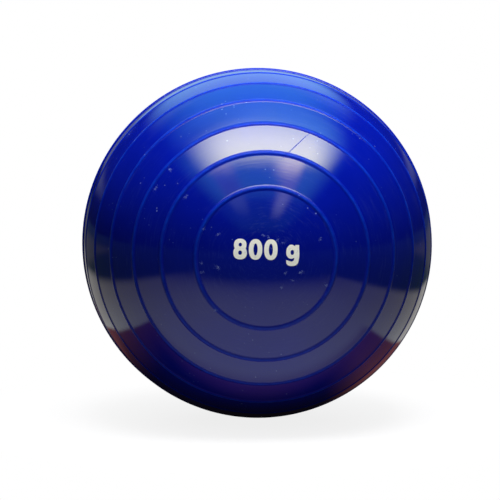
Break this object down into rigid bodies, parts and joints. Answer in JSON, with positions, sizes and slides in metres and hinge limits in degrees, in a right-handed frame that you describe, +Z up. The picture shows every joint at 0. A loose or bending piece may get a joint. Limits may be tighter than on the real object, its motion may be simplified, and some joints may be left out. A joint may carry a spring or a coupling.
{
  "type": "throwing ball",
  "caption": "Blue ringed plastic throwing ball: a split shell filled with sand and closed by a plug, for throwing practice.",
  "frame": {"origin": "centre of the ball", "axes": "the rings run round the Y axis: -Y through the pole with the weight mark, +Y through the fill plug, +Z up"},
  "size_m": [0.1, 0.0984, 0.1],
  "materials": {
    "shell_plastic": "glossy moulded PVC, cobalt blue",
    "plug_plastic": "moulded PVC, cobalt blue",
    "sand": "dry quartz sand"
  },
  "bodies": {
    "root": {"front_shell": "shell_plastic", "rear_shell": "shell_plastic", "fill_plug": "plug_plastic", "sand_fill": "sand"}
  },
  "joints": []
}
